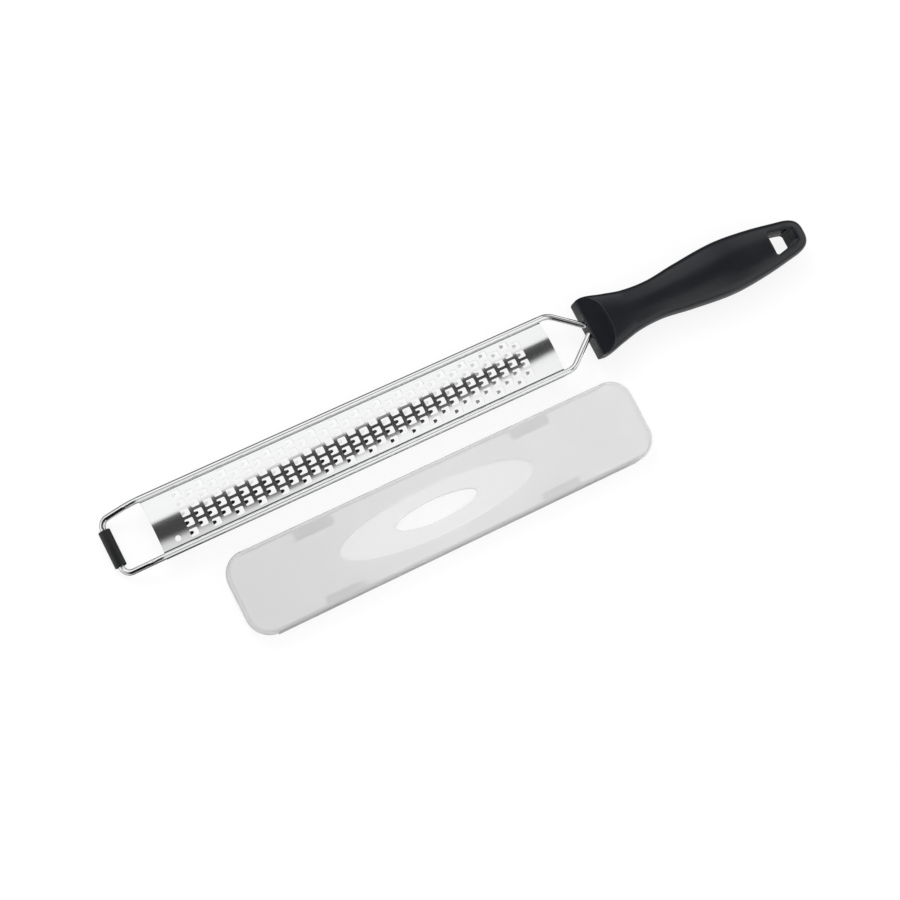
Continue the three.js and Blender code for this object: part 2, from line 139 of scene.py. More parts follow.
def plainMesh(source, *helpers):
    # the evaluated object as one plain mesh; the sources go
    graph = bpy.context.evaluated_depsgraph_get()
    mesh = bpy.data.meshes.new_from_object(source.evaluated_get(graph), depsgraph=graph)
    for used in (source, *helpers):
        bpy.data.objects.remove(used)
    return mesh


def meshFromFaces(name, faces):
    # faces are lists of points in millimetres; equal points become one vertex
    places, loops = {}, []
    for face in faces:
        loops.append([places.setdefault(tuple(round(c, 4) for c in p), len(places)) for p in face])
    mesh = bpy.data.meshes.new(name)
    mesh.from_pydata([tuple(c * mm for c in p) for p in places], [], loops)
    return mesh


def strip(ringA, ringB, closed=True):
    count = len(ringA) if closed else len(ringA) - 1
    for i in range(count):
        j = (i + 1) % len(ringA)
        yield [ringA[i], ringA[j], ringB[j], ringB[i]]


def outward(mesh):
    shape = bmesh.new()
    shape.from_mesh(mesh)
    bmesh.ops.remove_doubles(shape, verts=shape.verts, dist=mergeReach * mm)
    bmesh.ops.recalc_face_normals(shape, faces=shape.faces)
    shape.to_mesh(mesh)
    shape.free()
    return mesh


def smoothShade(mesh, sharpAngle):
    shape = bmesh.new()
    shape.from_mesh(mesh)
    for face in shape.faces:
        face.smooth = True
    for edge in shape.edges:
        edge.smooth = edge.calc_face_angle(0) < math.radians(sharpAngle)
    shape.to_mesh(mesh)
    shape.free()
    return mesh


def combined(operation, mesh, *others):
    body = tempObject("body", mesh)
    tools = [tempObject("tool", other) for other in others]
    for tool in tools:
        modifier = body.modifiers.new("combine", "BOOLEAN")
        modifier.operation, modifier.solver, modifier.object = operation, "EXACT", tool
    return plainMesh(body, *tools)


def addPiece(name, mesh, material, body, node):
    mesh.materials.clear()
    mesh.materials.append(material)
    piece = tempObject(name, mesh)
    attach(piece, body)
    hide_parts(node)
    print("piece:", name, len(mesh.polygons), "faces")
    return piece


# Finishes

grainShare = 0.35  # share of the fine grain in the tone, the rest is slow drift


def grainGroup():
    # fine moulded grain, and a slow drift of tone over the surface
    tree, given, result = newTree(
        "mouldedGrain", "ShaderNodeTree",
        {"Grain size": "Float", "Drift size": "Float", "Low": "Float", "High": "Float"},
        {"Height": "Float", "Tone": "Float"})
    place = objectPlace(tree)
    fine = put(tree, "ShaderNodeTexNoise", {
        "Vector": place, "Scale": calc(tree, "DIVIDE", 1.0, given["Grain size"]), "Detail": 3.0})
    slow = put(tree, "ShaderNodeTexNoise", {
        "Vector": place, "Scale": calc(tree, "DIVIDE", 1.0, given["Drift size"]), "Detail": 2.0})
    blend = mixed(tree, grainShare, slow.outputs[0], fine.outputs[0])
    tree.links.new(fine.outputs[0], result["Height"])
    tree.links.new(mapped(tree, blend, *noiseSpread, given["Low"], given["High"]), result["Tone"])
    return tree


def drawnGroup():
    # fine lines of rolling or drawing, stretched along the first given axis
    tree, given, result = newTree(
        "drawnLines", "ShaderNodeTree",
        {"Vector": "Vector", "Line width": "Float", "Line length": "Float", "Low": "Float", "High": "Float"},
        {"Height": "Float", "Tone": "Float"})
    parts = parted(tree, given["Vector"])
    stretched = put(tree, "ShaderNodeCombineXYZ", {
        0: calc(tree, "DIVIDE", parts[0], given["Line length"]),
        1: calc(tree, "DIVIDE", parts[1], given["Line width"]),
        2: calc(tree, "DIVIDE", parts[2], given["Line width"])})
    lines = put(tree, "ShaderNodeTexNoise", {"Vector": stretched.outputs[0], "Scale": 1.0, "Detail": 2.0})
    tree.links.new(lines.outputs[0], result["Height"])
    tree.links.new(mapped(tree, lines.outputs[0], *noiseSpread, given["Low"], given["High"]), result["Tone"])
    return tree


mouldedGrain = grainGroup()
drawnLines = drawnGroup()


def newFinish(name, plain):
    material = bpy.data.materials.new(name)
    material.use_nodes = True
    tree = material.node_tree
    shader = tree.nodes["Principled BSDF"]
    for label, value in plain.items():
        shader.inputs[label].default_value = value
    return material, tree, shader


def tinted(tree, share, first, second):
    return put(tree, "ShaderNodeMix", {0: share, 6: first, 7: second}, data_type="RGBA").outputs[2]


def connectFinish(tree, shader, group, look):
    # tone drives colour and roughness, height the bump
    share = mapped(tree, group.outputs["Tone"], *look["roughness"])
    tint = tinted(tree, share, (*look["dark"], 1.0), (*look["light"], 1.0))
    tree.links.new(group.outputs["Tone"], shader.inputs["Roughness"])
    tree.links.new(tint, shader.inputs["Base Color"])
    bump = put(tree, "ShaderNodeBump", {
        "Strength": look["bump"], "Distance": look["bumpDepth"] * mm, "Height": group.outputs["Height"]})
    tree.links.new(bump.outputs[0], shader.inputs["Normal"])


def overTint(tree, share, colour):
    base = tree.nodes["Principled BSDF"].inputs["Base Color"]
    tree.links.new(tinted(tree, share, base.links[0].from_socket, (*colour, 1.0)), base)


def steelFinish(name, look):
    material, tree, shader = newFinish(name, {"Metallic": 1.0})
    if look.get("attribute"):
        place = put(tree, "ShaderNodeAttribute", attribute_name=look["attribute"]).outputs["Vector"]
    else:
        place = objectPlace(tree)
    group = put(tree, "ShaderNodeGroup", {
        "Vector": place, "Line width": look["lineWidth"] * mm, "Line length": look["lineLength"] * mm,
        "Low": look["roughness"][0], "High": look["roughness"][1]}, node_tree=drawnLines)
    connectFinish(tree, shader, group, look)
    return material


def mouldedFinish(name, look, plain):
    material, tree, shader = newFinish(name, plain)
    group = put(tree, "ShaderNodeGroup", {
        "Grain size": look["grainSize"] * mm, "Drift size": look["driftSize"] * mm,
        "Low": look["roughness"][0], "High": look["roughness"][1]}, node_tree=mouldedGrain)
    connectFinish(tree, shader, group, look)
    return material


# Wire frame: one polished rod bent round the tip and back, with both tails in the handle

wire = dict(
    rodDiameter=3.0, rodSpacing=29.8, footDrop=8.0, footRun=15.0, footInset=0.95,
    tailGap=1.8, tailLength=62.0, tailHook=5.0, neckStraight=2.5,
    footBend=4.5, kneeBend=17.0, neckBend=9.0, tailBend=4.0, hookBend=3.0,
    sides=32, bendSteps=14, channelGap=0.25, sharpAngle=50.0,
    finish=dict(attribute="alongWire", lineWidth=0.25, lineLength=14.0, roughness=(0.05, 0.1),
                dark=(0.84, 0.845, 0.85), light=(0.91, 0.915, 0.92), bump=0.08, bumpDepth=0.02),
)
footZ = (sleeveLow.z + sleeveHigh.z) / 2
rodZ = footZ + wire["footDrop"]
rodY = wire["rodSpacing"] / 2


def wireCorners():
    tailY = (wire["rodDiameter"] + wire["tailGap"]) / 2
    hookX = handleLow.x + wire["tailLength"]
    neckTurn = math.atan2(rodY - tailY, handleLow.x - bladeHigh.x)
    neckX = bladeHigh.x + wire["neckStraight"] + wire["neckBend"] * math.tan(neckTurn / 2)
    half = [
        ((hookX, tailY + wire["tailHook"], rodZ), 0.0),
        ((hookX, tailY, rodZ), wire["hookBend"]),
        ((handleLow.x, tailY, rodZ), wire["tailBend"]),
        ((neckX, rodY, rodZ), wire["neckBend"]),
        ((wire["footRun"], rodY, rodZ), wire["kneeBend"]),
        ((0.0, rodY - wire["footInset"], footZ), wire["footBend"]),
    ]
    return half + [((x, -y, z), bend) for (x, y, z), bend in reversed(half)]


def wireTree():
    tree, given, result = newTree(
        "bentWire", "GeometryNodeTree",
        {"Path": "Geometry", "Rod radius": "Float", "Sides": "Int", "Bend steps": "Int", "Steel": "Material"},
        {"Wire": "Geometry"})
    line = put(tree, "GeometryNodeMeshToCurve", {0: given["Path"]})
    bend = put(tree, "GeometryNodeInputNamedAttribute", {"Name": "bendRadius"}, data_type="FLOAT")
    bent = put(tree, "GeometryNodeFilletCurve", {
        "Curve": line.outputs[0], "Count": given["Bend steps"], "Radius": bend.outputs[0],
        "Limit Radius": True}, mode="POLY")
    length = put(tree, "GeometryNodeCaptureAttribute", {0: bent.outputs[0]})
    length.capture_items.new("FLOAT", "Length")
    tree.links.new(put(tree, "GeometryNodeSplineParameter").outputs["Length"], length.inputs[1])
    circle = put(tree, "GeometryNodeCurvePrimitiveCircle", {
        "Resolution": given["Sides"], "Radius": given["Rod radius"]})
    section = put(tree, "GeometryNodeCaptureAttribute", {0: circle.outputs[0]})
    section.capture_items.new("VECTOR", "Section")
    tree.links.new(put(tree, "GeometryNodeInputPosition").outputs[0], section.inputs[1])
    swept = put(tree, "GeometryNodeCurveToMesh", {
        "Curve": length.outputs[0], "Profile Curve": section.outputs[0], "Fill Caps": True})
    parts = parted(tree, section.outputs[1])
    along = put(tree, "ShaderNodeCombineXYZ", {0: length.outputs[1], 1: parts[0], 2: parts[1]})
    kept = put(tree, "GeometryNodeStoreNamedAttribute", {
        "Geometry": swept.outputs[0], "Name": "alongWire"}, data_type="FLOAT_VECTOR", domain="POINT")
    tree.links.new(along.outputs[0], kept.inputs["Value"])
    dress(tree, kept.outputs[0], given["Steel"], result)
    return tree


bentWire = wireTree()
wireFinish = steelFinish("polishedWire", wire["finish"])


def wireMesh(radius):
    corners = wireCorners()
    path = bpy.data.meshes.new("wirePath")
    path.from_pydata([Vector(at) * mm for at, bend in corners],
                     [(i, i + 1) for i in range(len(corners) - 1)], [])
    bends = path.attributes.new("bendRadius", "FLOAT", "POINT")
    bends.data.foreach_set("value", [bend * mm for at, bend in corners])
    source = tempObject("wirePath", path)
    useTree(source, bentWire, {"Rod radius": radius * mm, "Sides": wire["sides"],
                               "Bend steps": wire["bendSteps"], "Steel": wireFinish})
    return outward(plainMesh(source))


addPiece("bentWireFrame", smoothShade(wireMesh(wire["rodDiameter"] / 2), wire["sharpAngle"]),
         wireFinish, "grater", "wire_frame")


# Foot sleeve: a soft black tube on the cross bar

sleeve = dict(
    bore=1.6, rimRound=0.45, rimSteps=5, around=56, sharpAngle=50.0, shine=0.5,
    finish=dict(grainSize=0.22, driftSize=6.0, roughness=(0.36, 0.5),
                dark=(0.0046, 0.0054, 0.0068), light=(0.0074, 0.0084, 0.0102), bump=0.25, bumpDepth=0.05),
)


def sleeveMesh():
    outer = (sleeveHigh.z - sleeveLow.z) / 2
    half = (sleeveHigh.y - sleeveLow.y) / 2
    rim, steps = sleeve["rimRound"], sleeve["rimSteps"]
    turns = [math.pi / 2 * i / steps for i in range(steps + 1)]
    rimEnd = [(outer - rim + rim * math.cos(t), half - rim + rim * math.sin(t)) for t in turns]
    inEnd = [(sleeve["bore"] + rim * (1 - math.sin(t)), half - rim + rim * math.cos(t)) for t in turns]
    profile = rimEnd + inEnd
    profile += [(radius, -along) for radius, along in reversed(profile)]
    rings = []
    for i in range(sleeve["around"]):
        angle = 2 * math.pi * i / sleeve["around"]
        rings.append([(r * math.cos(angle), y, footZ + r * math.sin(angle)) for r, y in profile])
    faces = [f for i, ring in enumerate(rings) for f in strip(ring, rings[(i + 1) % len(rings)])]
    return outward(meshFromFaces("footSleeve", faces))


addPiece("softFootSleeve", smoothShade(sleeveMesh(), sleeve["sharpAngle"]),
         mouldedFinish("softSleeve", sleeve["finish"], {"Specular IOR Level": sleeve["shine"]}),
         "grater", "foot_sleeve")


# Grating blade: an arched sheet, windows with a raised tooth each, long edges hooked under the rods

blade = dict(
    thickness=0.3, archRise=1.2, foldRadius=0.3, foldSteps=6, hemSweep=150.0, hemSteps=12, rodGap=0.3,
    columnPitch=6.0, rowPitch=5.0, rows=5, plainTip=15.8, plainEnd=18.0,
    windowLength=4.2, windowWidth=3.6, windowCorner=0.55,
    toothLength=1.65, toothWidth=1.8, toothTipWidth=0.8, toothRise=0.8, toothSteps=4, rootLead=0.95,
    cellStepsX=4, cellStepsY=6, plainSteps=9,
    tipHoleDiameter=2.9, tipHoleFromEdge=8.7, tipHoleY=-9.7, tipHoleCells=4, mergeReach=0.005,
    # the hem band paints shade along each hem, where the sheet turns down under the rod
    hemShade=(-0.15, 0.0, 0.3, 0.5), hemPaintedShade=(0.12, 0.12, 0.12), sharpAngle=20.0,
    finish=dict(lineWidth=0.16, lineLength=40.0, roughness=(0.06, 0.11),
                dark=(0.88, 0.885, 0.89), light=(0.94, 0.945, 0.95), bump=0.08, bumpDepth=0.02),
)
hemRadius = wire["rodDiameter"] / 2 + blade["rodGap"] + blade["thickness"] / 2
bladeHalf = rodY - hemRadius
cellLong, cellWide = blade["columnPitch"], blade["rowPitch"]
firstTooth = bladeLow.x + blade["plainTip"]
columns = 1 + int((bladeHigh.x - bladeLow.x - blade["plainTip"] - blade["plainEnd"]) // cellLong)
firstCell = firstTooth - blade["rootLead"] + blade["windowLength"] / 2
gridStart = firstCell - cellLong / 2
gridStop = gridStart + columns * cellLong
gridHalf = blade["rows"] * cellWide / 2


def stops(start, stop, count):
    return [start + (stop - start) * i / count for i in range(count + 1)]


def loopRound(xs, ys):
    # the border of a block, counter-clockwise from its low corner
    low = [(x, ys[0]) for x in xs[:-1]] + [(xs[-1], y) for y in ys[:-1]]
    high = [(x, ys[-1]) for x in reversed(xs[1:])] + [(xs[0], y) for y in reversed(ys[1:])]
    return low + high


def flat(points, z=0.0):
    return [(x, y, z) for x, y in points]


def windowLoop():
    # rounded window outline, point for point with the cell's border
    halfX, halfY, corner = blade["windowLength"] / 2, blade["windowWidth"] / 2, blade["windowCorner"]
    nook = corner * (1 - math.sqrt(0.5))
    root = blade["toothWidth"] / 2
    alongX = [-halfX + nook, -halfX + corner, 0.0, halfX - corner, halfX - nook]
    alongY = [-halfY + nook, -halfY + corner, -root, 0.0, root, halfY - corner, halfY - nook]
    offX = [nook, 0, 0, 0, nook]
    offY = [nook, 0, 0, 0, 0, 0, nook]
    low = [(x, -halfY + d) for x, d in zip(alongX, offX)][:-1]
    right = [(halfX - d, y) for y, d in zip(alongY, offY)][:-1]
    high = [(x, halfY - d) for x, d in zip(alongX, offX)][:0:-1]
    left = [(-halfX + d, y) for y, d in zip(alongY, offY)][:0:-1]
    return low + right + high + left


def cellMesh():
    border = loopRound(stops(-cellLong / 2, cellLong / 2, blade["cellStepsX"]),
                       stops(-cellWide / 2, cellWide / 2, blade["cellStepsY"]))
    faces = list(strip(flat(border), flat(windowLoop())))
    # the tooth is a tongue with a rounded tip, bent up along a crisp line at the window's edge
    rootX = -blade["windowLength"] / 2
    narrowing = 1 - (blade["toothTipWidth"] / blade["toothWidth"]) ** 2
    rows = []
    for step in range(blade["toothSteps"] + 1):
        share = math.sin(math.pi / 2 * step / blade["toothSteps"])
        half = blade["toothWidth"] / 2 * math.sqrt(1 - narrowing * share * share)
        x, z = rootX + blade["toothLength"] * share, blade["toothRise"] * share
        rows.append([(x, -half, z), (x, 0.0, z), (x, half, z)])
    for near, far in zip(rows, rows[1:]):
        faces += strip(far, near, closed=False)
    return meshFromFaces("windowCell", faces)


def plainSheet():
    # everything but the windows: both ends, the sides of the short columns and the two hems
    faces = []
    tipXs = stops(bladeLow.x, gridStart, blade["plainSteps"])
    endXs = stops(gridStop, bladeHigh.x, blade["plainSteps"])
    gridXs = stops(gridStart, gridStop, columns * blade["cellStepsX"])
    ys = stops(-gridHalf, gridHalf, blade["rows"] * blade["cellStepsY"])
    holeX = bladeLow.x + blade["tipHoleFromEdge"]
    cells = blade["tipHoleCells"]
    at = min(range(len(tipXs) - cells), key=lambda i: abs(tipXs[i] + tipXs[i + cells] - 2 * holeX))
    holeXs, holeYs = tipXs[at:at + cells + 1], ys[:blade["cellStepsY"] + 1]

    def block(xs, ys, skip=lambda x, y: False):
        for x, nextX in zip(xs, xs[1:]):
            for y, nextY in zip(ys, ys[1:]):
                if not skip((x + nextX) / 2, (y + nextY) / 2):
                    faces.append(flat([(x, y), (nextX, y), (nextX, nextY), (x, nextY)]))

    block(tipXs, ys, lambda x, y: holeXs[0] < x < holeXs[-1] and y < holeYs[-1])
    block(endXs, ys)
    border = loopRound(holeXs, holeYs)
    centre = Vector((holeX, blade["tipHoleY"]))
    rim = [centre + (Vector(p) - centre).normalized() * blade["tipHoleDiameter"] / 2 for p in border]
    between = [(Vector(p) + q) / 2 for p, q in zip(border, rim)]
    faces.extend(strip(flat(border), flat(between)))
    faces.extend(strip(flat(between), flat(rim)))
    for column in range(1, columns, 2):
        xs = gridXs[column * blade["cellStepsX"]:(column + 1) * blade["cellStepsX"] + 1]
        block(xs, ys[:blade["cellStepsY"] // 2 + 1])
        block(xs, ys[-blade["cellStepsY"] // 2 - 1:])

    # fold down beside the rod, then round under it
    fold = blade["foldRadius"]
    bends = [math.pi / 2 * (1 - i / blade["foldSteps"]) for i in range(blade["foldSteps"] + 1)]
    profile = [(bladeHalf - fold + fold * math.cos(a), fold * math.sin(a) - fold) for a in bends]
    profile[0] = (gridHalf, 0.0)
    start = math.asin(fold / hemRadius)
    for i in range(1, blade["hemSteps"] + 1):
        angle = math.pi + start + (math.radians(blade["hemSweep"]) - start) * i / blade["hemSteps"]
        profile.append((rodY + hemRadius * math.cos(angle), hemRadius * math.sin(angle)))
    allXs = tipXs[:-1] + gridXs + endXs[1:]
    for side in (1, -1):
        lines = [[(x, side * y, z) for x in allXs] for y, z in profile]
        for near, far in zip(lines, lines[1:]):
            faces.extend(strip(near, far, closed=False) if side > 0 else strip(far, near, closed=False))
    return meshFromFaces("plainSheet", faces)


def bladeTree():
    tree, given, result = newTree(
        "gratingSheet", "GeometryNodeTree",
        {"Plain sheet": "Geometry", "Window cell": "Object", "First column": "Float", "Column pitch": "Float",
         "Row pitch": "Float", "Columns": "Int", "Rows": "Int", "Arch rise": "Float", "Half width": "Float",
         "Rod height": "Float", "Steel": "Material"},
        {"Sheet": "Geometry"})
    cell = put(tree, "GeometryNodeObjectInfo", {"Object": given["Window cell"]})
    joined = put(tree, "GeometryNodeJoinGeometry", {0: given["Plain sheet"]})

    def staggered(offset):
        # every second column; the odd ones start a pitch further and have one window fewer
        count = calc(tree, "FLOOR", calc(tree, "DIVIDE", calc(tree, "SUBTRACT", calc(
            tree, "ADD", given["Columns"], 1.0), float(offset)), 2.0))
        rows = calc(tree, "SUBTRACT", given["Rows"], float(offset))
        sizeX = calc(tree, "MULTIPLY", calc(tree, "SUBTRACT", count, 1.0),
                     calc(tree, "MULTIPLY", given["Column pitch"], 2.0))
        sizeY = calc(tree, "MULTIPLY", calc(tree, "SUBTRACT", rows, 1.0), given["Row pitch"])
        grid = put(tree, "GeometryNodeMeshGrid", {0: sizeX, 1: sizeY, 2: count, 3: rows})
        shift = calc(tree, "MULTIPLY", given["Column pitch"], float(offset))
        middle = calc(tree, "ADD", calc(tree, "ADD", given["First column"], shift),
                      calc(tree, "DIVIDE", sizeX, 2.0))
        move = put(tree, "ShaderNodeCombineXYZ", {0: middle})
        points = put(tree, "GeometryNodeTransform", {0: grid.outputs[0], "Translation": move.outputs[0]})
        copies = put(tree, "GeometryNodeInstanceOnPoints", {
            "Points": points.outputs[0], "Instance": cell.outputs["Geometry"]})
        tree.links.new(copies.outputs[0], joined.inputs[0])

    staggered(0)
    staggered(1)
    whole = put(tree, "GeometryNodeRealizeInstances", {0: joined.outputs[0]})
    merged = put(tree, "GeometryNodeMergeByDistance", {
        0: whole.outputs[0], "Distance": blade["mergeReach"] * mm})
    across = parted(tree, put(tree, "GeometryNodeInputPosition").outputs[0])[1]
    share = calc(tree, "DIVIDE", across, given["Half width"])
    arch = calc(tree, "MAXIMUM", calc(tree, "SUBTRACT", 1.0, calc(tree, "MULTIPLY", share, share)), 0.0)
    lift = calc(tree, "ADD", given["Rod height"], calc(tree, "MULTIPLY", arch, given["Arch rise"]))
    offset = put(tree, "ShaderNodeCombineXYZ", {2: lift})
    arched = put(tree, "GeometryNodeSetPosition", {0: merged.outputs[0], "Offset": offset.outputs[0]})
    dress(tree, arched.outputs[0], given["Steel"], result)
    return tree


def bladeMesh(steel):
    cell = tempObject("windowCell", cellMesh())
    source = tempObject("plainSheet", plainSheet())
    useTree(source, bladeTree(), {
        "Window cell": cell, "First column": firstCell * mm, "Column pitch": cellLong * mm,
        "Row pitch": cellWide * mm, "Columns": columns, "Rows": blade["rows"],
        "Arch rise": blade["archRise"] * mm, "Half width": bladeHalf * mm, "Rod height": rodZ * mm,
        "Steel": steel})
    wall = source.modifiers.new("thickness", "SOLIDIFY")
    wall.thickness, wall.offset, wall.use_even_offset = blade["thickness"] * mm, 0.0, True
    return plainMesh(source, cell)


def sheetSteelWithPaintedHemShade():
    material = steelFinish("rolledSheet", blade["finish"])
    # painted shade: the hems are darkened where they turn down beside the rods, standing in for the shadowed
    # gap under them
    tree = material.node_tree
    across = calc(tree, "ABSOLUTE", parted(tree, objectPlace(tree))[1])
    start, full, fade, stop = [(bladeHalf + at) * mm for at in blade["hemShade"]]
    down, under = mapped(tree, across, start, full), mapped(tree, across, fade, stop, 1.0, 0.0)
    overTint(tree, calc(tree, "MULTIPLY", down, under), blade["hemPaintedShade"])
    return material


bladeFinish = sheetSteelWithPaintedHemShade()
addPiece("archedGratingBlade", smoothShade(bladeMesh(bladeFinish), blade["sharpAngle"]),
         bladeFinish, "grater", "grating_blade")


# Handle: two moulded halves, waisted, with a sloping front facet and a hanging hole

handle = dict(
    outline=[(0, 15.5), (3.5, 16.0), (15, 13.5), (26, 11.2), (40, 10.5), (57, 12.4), (83, 14.4), (104, 12.8),
             (120, 10.3)],
    top=[(0, 6.0), (40, 6.0), (83, 7.5), (120, 6.2)],
    under=[(0, 8.2), (40, 8.2), (83, 10.95), (120, 7.4)],
    endRound=12.0, endSquareness=3.4, frontTop=3.6, frontUnder=5.7, bodyTop=6.0, bodyUnder=8.2,
    facetLength=11.0, facetBlend=0.3, beadHeight=0.2, beadReach=0.7,
    frontSquareness=6.0, bodySquareness=2.6, squareFade=24.0, frontEdge=0.7,
    seamGap=0.12, seamChamfer=0.25, around=88, sampling=6, step=1.0, fineStep=0.3, fineMargin=2.0,
    frontSteps=5, endSteps=14, endShort=0.2, sharpAngle=40.0, shine=0.5,
    holeLength=13.6, holeEndWall=7.8, holeFrontWidth=13.4, holeBackWidth=7.4, holeCorner=1.6, holeRim=0.9,
    holeSteps=8, holeReach=(-5.0, 30.0),
    finish=dict(grainSize=0.35, driftSize=14.0, roughness=(0.2, 0.28),
                dark=(0.0055, 0.0066, 0.0095), light=(0.008, 0.0095, 0.0135), bump=0.3, bumpDepth=0.04),
)
handleEnd = handle["outline"][-1][0]
handleLength = handleEnd + handle["endRound"]
(shoulderX, shoulderY), (endX, endY) = handle["outline"][-2:]
endTaper = (shoulderY - endY) / (endX - shoulderX)  # the sides run on straight into the rounded end


def smoothThrough(knots):
    # cubic through the knots, each slope the mean of its two neighbours'
    places = [place for place, size in knots]
    rises = [(b[1] - a[1]) / (b[0] - a[0]) for a, b in zip(knots, knots[1:])]
    slopes = [rises[0]] + [(p + q) / 2 for p, q in zip(rises, rises[1:])] + [rises[-1]]

    def at(place):
        i = min(max(bisect.bisect_right(places, place) - 1, 0), len(rises) - 1)
        run = places[i + 1] - places[i]
        t = (place - places[i]) / run
        a, b = knots[i][1], knots[i + 1][1]
        return (a * (1 + 2 * t) * (1 - t) ** 2 + b * t * t * (3 - 2 * t)
                + run * (slopes[i] * t * (1 - t) ** 2 - slopes[i + 1] * t * t * (1 - t)))
    return at


halfWidthAt = smoothThrough(handle["outline"])
topAt = smoothThrough(handle["top"])
underAt = smoothThrough(handle["under"])


def softLess(a, b, blend):
    # the lesser of two heights, with the corner between them rounded
    near = max(blend - abs(a - b), 0.0) / blend
    return min(a, b) - near * near * blend / 4


holeBack = handleLength - handle["holeEndWall"]
holeFront = holeBack - handle["holeLength"]
holeSlope = (handle["holeFrontWidth"] - handle["holeBackWidth"]) / 2 / handle["holeLength"]


def holeDistance(place, y):
    corner = handle["holeCorner"]
    side = handle["holeFrontWidth"] / 2 - holeSlope * (place - holeFront)
    alongX = max(holeFront + corner - place, place - holeBack + corner)
    alongY = abs(y) - side + corner
    outside = math.hypot(max(alongX, 0.0), max(alongY, 0.0))
    return outside + min(max(alongX, alongY), 0.0) - corner


def handleSection(place, upper):
    along = min(place, handleEnd)
    past = max(place - handleEnd, 0.0) / handle["endRound"]
    ease = (1 - past ** handle["endSquareness"]) ** (1 / handle["endSquareness"])
    edge = handle["frontEdge"]
    back = max(edge - place, 0.0)
    inset = edge - math.sqrt(edge * edge - back * back)
    body = topAt(along) if upper else min(underAt(along), rodZ - handle["seamGap"])
    front = handle["frontTop"] if upper else handle["frontUnder"]
    rise = (handle["bodyTop"] if upper else handle["bodyUnder"]) - front
    facet = front + rise * place / handle["facetLength"] - inset
    half = (halfWidthAt(along) - endTaper * (place - along)) * ease - inset
    height = body * ease
    fade = math.sqrt(min(place / handle["squareFade"], 1.0))
    power = 2 / (handle["frontSquareness"] + (handle["bodySquareness"] - handle["frontSquareness"]) * fade)
    chamfer = min(handle["seamChamfer"], height / 4)
    first = math.asin((chamfer / height) ** (1 / power))
    fine = handle["sampling"] * handle["around"]
    curve = []
    for i in range(fine + 1):
        angle = first + (math.pi - 2 * first) * i / fine
        y = math.copysign(half * abs(math.cos(angle)) ** power, math.cos(angle))
        swell = height * math.sin(angle) ** power
        z = softLess(swell, facet, handle["facetBlend"])
        if upper:
            # a low bead along the facet's curved edge
            apart = (facet - swell) / (rise / handle["facetLength"] * handle["beadReach"])
            z += handle["beadHeight"] * max(1 - apart * apart, 0.0) ** 2
        rim = max(handle["holeRim"] - max(holeDistance(place, y), 0.0), 0.0)
        z -= handle["holeRim"] - math.sqrt(handle["holeRim"] ** 2 - rim * rim)
        curve.append(Vector((y, max(z, chamfer))))
    # even spacing along the curve
    lengths = [0.0]
    for a, b in zip(curve, curve[1:]):
        lengths.append(lengths[-1] + (b - a).length)
    spaced = []
    for i in range(handle["around"] + 1):
        wanted = lengths[-1] * i / handle["around"]
        j = min(max(bisect.bisect_right(lengths, wanted) - 1, 0), fine - 1)
        share = (wanted - lengths[j]) / max(lengths[j + 1] - lengths[j], 1e-9)
        spaced.append(curve[j].lerp(curve[j + 1], min(share, 1.0)))
    lip = Vector((half - chamfer, 0.0))
    spaced = [lip, *spaced, Vector((-lip.x, 0.0))]
    sign = 1 if upper else -1
    return [(handleLow.x + place, p.x, rodZ + sign * (handle["seamGap"] / 2 + p.y)) for p in spaced]


def handlePlaces():
    edge = handle["frontEdge"]
    steps, margin = handle["frontSteps"], handle["fineMargin"]
    front = [edge * (1 - math.cos(math.pi / 2 * i / steps)) for i in range(steps)]
    body, place = [], edge
    while place < handleEnd:
        body.append(place)
        nearFacet = place < handle["facetLength"] + margin
        nearHole = holeFront - margin < place < holeBack + margin
        place += handle["fineStep"] if nearFacet or nearHole else handle["step"]
    steps = handle["endSteps"]
    turns = [math.pi / 2 * i / (steps + handle["endShort"]) for i in range(steps + 1)]
    return front + body + [handleEnd + handle["endRound"] * math.sin(turn) for turn in turns]


def holePrism():
    corner = handle["holeCorner"]
    steps = handle["holeSteps"]
    outline = []
    for quarter, (wallX, signX, signY) in enumerate(
            ((holeBack, 1, 1), (holeFront, -1, 1), (holeFront, -1, -1), (holeBack, 1, -1))):
        x = wallX - signX * corner
        y = signY * (handle["holeFrontWidth"] / 2 - holeSlope * (x - holeFront) - corner)
        for i in range(steps + 1):
            angle = math.pi / 2 * (quarter + i / steps)
            outline.append((handleLow.x + x + corner * math.cos(angle), y + corner * math.sin(angle)))
    low, high = [flat(outline, z) for z in handle["holeReach"]]
    return outward(meshFromFaces("holePrism", [low, high, *strip(low, high)]))


def shellMesh(upper):
    rings = [handleSection(place, upper) for place in handlePlaces()]
    faces = [f for a, b in zip(rings, rings[1:]) for f in strip(a, b)]
    solid = outward(meshFromFaces("handleShell", faces + [rings[0], rings[-1]]))
    channel = wireMesh(wire["rodDiameter"] / 2 + wire["channelGap"])
    return smoothShade(combined("DIFFERENCE", solid, holePrism(), channel), handle["sharpAngle"])


handleFinish = mouldedFinish("satinHandle", handle["finish"], {"Specular IOR Level": handle["shine"]})
addPiece("handleUpperHalf", shellMesh(True), handleFinish, "grater", "handle_upper_shell")
addPiece("handleLowerHalf", shellMesh(False), handleFinish, "grater", "handle_lower_shell")


# Blade cover: a shallow frosted lid with a sunk dish, an oval opening and four clips

